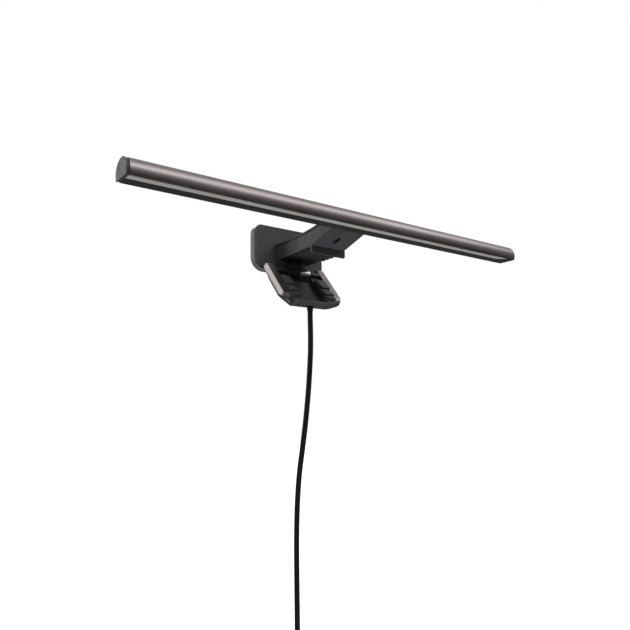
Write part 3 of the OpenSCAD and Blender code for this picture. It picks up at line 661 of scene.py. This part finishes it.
def make_screws():
    """The screws in the rear cover and in the jaw's back and foot. Places are in mm."""
    shank, head_r = 9 * MM, 2.2 * MM
    cover_r, cover_head, jaw_r, jaw_head = 1.05 * MM, 1.2 * MM, 1.1 * MM, 1.1 * MM
    rear = Euler((-math.pi / 2, 0, 0)).to_matrix().to_4x4()
    down = Euler((math.pi, 0, 0)).to_matrix().to_4x4()
    bm = bmesh.new()
    for x, z in ((-40, 3), (-40, 37), (40, 3), (40, 37)):
        place = Matrix.Translation(Vector((x, 81.6, z)) * MM) @ rear
        add_screw(bm, place, cover_r, shank, head_r, cover_head)
    finish_piece(object_of(bm, "cover.screws"), "arm", "dark_steel", "cover_screws")
    jaw = Matrix.Translation(HINGE) @ Euler((-JAW_LEAN, 0, 0)).to_matrix().to_4x4()
    bm = bmesh.new()
    for x, z in ((-24.7, -18), (24.7, -18), (-22.4, -39.4), (22.4, -39.4)):
        place = jaw @ Matrix.Translation(Vector((x, 11.1, z)) * MM) @ rear
        add_screw(bm, place, jaw_r, shank, head_r, jaw_head)
    for x in (-19.6, 19.6):
        place = jaw @ Matrix.Translation(Vector((x, 5.5, -48.7)) * MM) @ down
        add_screw(bm, place, jaw_r, shank, head_r, jaw_head)
    finish_piece(object_of(bm, "jaw.screws"), "jaw", "dark_steel", "jaw_screws")


# How far the outer edges of each moulded or machined piece are rounded, in mm
ROUNDING = {
    "bar_housing": 0.12, "end_cap_left": 0.3, "end_cap_right": 0.25, "bar_tray": 0.15,
    "diffuser": 0.2, "arm_shell": 0.45, "arm_top_cover": 0.3, "grip_pad": 0.3,
    "lip_pad": 0.15, "sensor_lens": 0.12, "rear_plate": 0.45, "rear_cover": 0.6,
    "rear_diffuser": 0.2, "hinge_sleeve": 0.3, "spring_barrel": 0.4, "jaw_shell": 0.45,
    "jaw_foot": 0.6, "jaw_body": 0.35, "pad_left": 0.35, "pad_right": 0.35,
}


def round_the_pieces():
    """Rounds every listed node, the wider roundings with one more segment."""
    for node, width in ROUNDING.items():
        refine(node, width, segments=3 if width > 0.4 else 2)


# ---------------------------------------------------------------- stage

def make_floor():
    """A plain pale floor under the plug. It adds no light or shadow of its own to the lamp."""
    below_plug = 0.012
    bpy.ops.mesh.primitive_grid_add(x_subdivisions=8, y_subdivisions=8, size=14)
    floor = bpy.context.object
    floor.name = "floor"
    floor.location.z = CAD_BOX[0].z - below_plug
    mat, tree, bsdf, coords = start_material("floor")
    tree.links.new(
        mix(tree, noise(tree, coords, 3, 2), (0.97, 0.97, 0.97), (1, 1, 1)),
        bsdf.inputs["Base Color"],
    )
    bsdf.inputs["Roughness"].default_value = 0.9
    bsdf.inputs["Emission Color"].default_value = (1, 1, 1, 1)
    bsdf.inputs["Emission Strength"].default_value = 0.85
    floor.data.materials.append(mat)
    floor.visible_diffuse = False
    floor.visible_glossy = False
    floor.visible_shadow = False


def make_world():
    """White behind the lamp; for its lighting, grey above and dark below."""
    world = bpy.data.worlds.new("studio")
    bpy.context.scene.world = world
    world.use_nodes = True
    tree = world.node_tree
    back = tree.nodes["Background"]
    coords = tree.nodes.new("ShaderNodeTexCoord").outputs["Generated"]
    split = tree.nodes.new("ShaderNodeSeparateXYZ")
    tree.links.new(coords, split.inputs["Vector"])
    height = spread(tree, split.outputs["Z"], 0, 1, -0.25, 0.9)
    sky = mix(tree, height, (0.03, 0.03, 0.03), (0.5, 0.5, 0.5))
    camera_ray = tree.nodes.new("ShaderNodeLightPath").outputs["Is Camera Ray"]
    tree.links.new(mix(tree, camera_ray, sky, (1, 1, 1)), back.inputs["Color"])


def softbox(name, place, aim, size, watts):
    """A rectangular softbox that points at aim."""
    light = bpy.data.lights.new(name, "AREA")
    light.shape = "RECTANGLE"
    light.size, light.size_y = size
    light.energy = watts
    obj = bpy.data.objects.new(name, light)
    obj.location = place
    obj.rotation_euler = (Vector(aim) - Vector(place)).to_track_quat("-Z", "Y").to_euler()
    bpy.context.scene.collection.objects.link(obj)


def make_lights():
    """A long softbox above for the bar's highlight, one below, and weak ones round the lamp."""
    middle = (0, 0, 0)
    softbox("overhead", (0.5, -1.02, 1.28), (0.15, 0, 0), (2.8, 0.95), 14)
    softbox("below", (0.05, -0.3, -1.35), middle, (1.6, 0.6), 11)
    softbox("left", (-1.5, -0.35, 0.35), middle, (0.8, 1.0), 1)
    softbox("rear_left", (-0.86, 1.25, 0.28), middle, (0.8, 0.9), 4.5)
    softbox("rear_right", (1.1, 1.1, 0.5), middle, (0.9, 0.9), 2)


# ---------------------------------------------------------------- the scene

bpy.context.scene.view_settings.view_transform = "Standard"
make_camera()
lead, lead_path = make_cord()
make_gland()
make_tie()
make_plug()
make_screws()
round_the_pieces()
paint_cad_nodes()
make_floor()
make_world()
make_lights()
